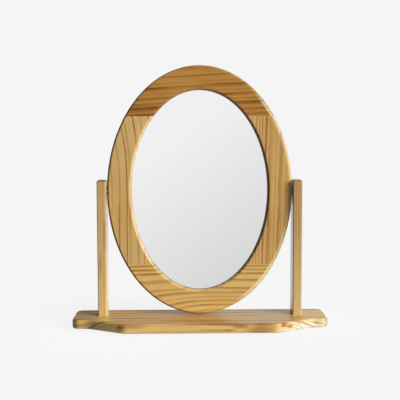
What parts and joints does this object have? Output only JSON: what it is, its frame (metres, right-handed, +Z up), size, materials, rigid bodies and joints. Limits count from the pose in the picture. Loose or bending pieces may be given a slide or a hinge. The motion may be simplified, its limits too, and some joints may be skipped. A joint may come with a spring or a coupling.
{
  "type": "dressing table mirror",
  "caption": "Free-standing oval dressing table mirror: a dowelled pine frame holds silvered glass and swings between upright posts on a shaped base board.",
  "frame": {"origin": "On the surface that the felt pads stand on, under the middle of the base board", "axes": "+X to the viewer's right, +Y away from the viewer so that the glass faces -Y, +Z up"},
  "size_m": [0.52, 0.142, 0.5325],
  "materials": {
    "pine_base": "honey pine under gloss lacquer, grain along the width",
    "pine_posts": "honey pine under gloss lacquer, grain upright",
    "pine_top_rail": "darker heart pine under gloss lacquer, grain across",
    "pine_bottom_rail": "honey pine under gloss lacquer, grain across",
    "pine_stiles": "honey pine under gloss lacquer, grain upright",
    "beech": "raw fluted-stock beech",
    "silvered_glass": "back-silvered float glass",
    "hardboard": "brown hardboard, smooth side out",
    "zinc_steel": "bright zinc plate",
    "brass": "turned brass",
    "nylon": "natural nylon",
    "felt": "brown pressed felt"
  },
  "bodies": {
    "stand": {"base_board": "pine_base", "felt_pads": "felt", "left_post": "pine_posts", "left_post_screws": "zinc_steel", "left_pivot_sleeve": "brass", "left_head_washer": "zinc_steel", "left_pivot_plug": "pine_posts", "right_post": "pine_posts", "right_post_screws": "zinc_steel", "right_pivot_sleeve": "brass", "right_head_washer": "zinc_steel", "right_pivot_plug": "pine_posts"},
    "mirror": {"frame_top_rail": "pine_top_rail", "frame_bottom_rail": "pine_bottom_rail", "frame_left_stile": "pine_stiles", "frame_right_stile": "pine_stiles", "mirror_glass": "silvered_glass", "backing_board": "hardboard", "backing_screws": "zinc_steel", "left_pivot_insert": "brass", "left_friction_washer": "nylon", "left_pivot_bolt": "zinc_steel", "upper_left_dowels": "beech", "lower_left_dowels": "beech", "right_pivot_insert": "brass", "right_friction_washer": "nylon", "right_pivot_bolt": "zinc_steel", "upper_right_dowels": "beech", "lower_right_dowels": "beech"}
  },
  "joints": [
    {"name": "mirror_tilt", "type": "hinge", "parent": "stand", "child": "mirror", "pos_m": [0, 0.026, 0.2775], "axis": [-1, 0, 0], "continuous": true}
  ]
}
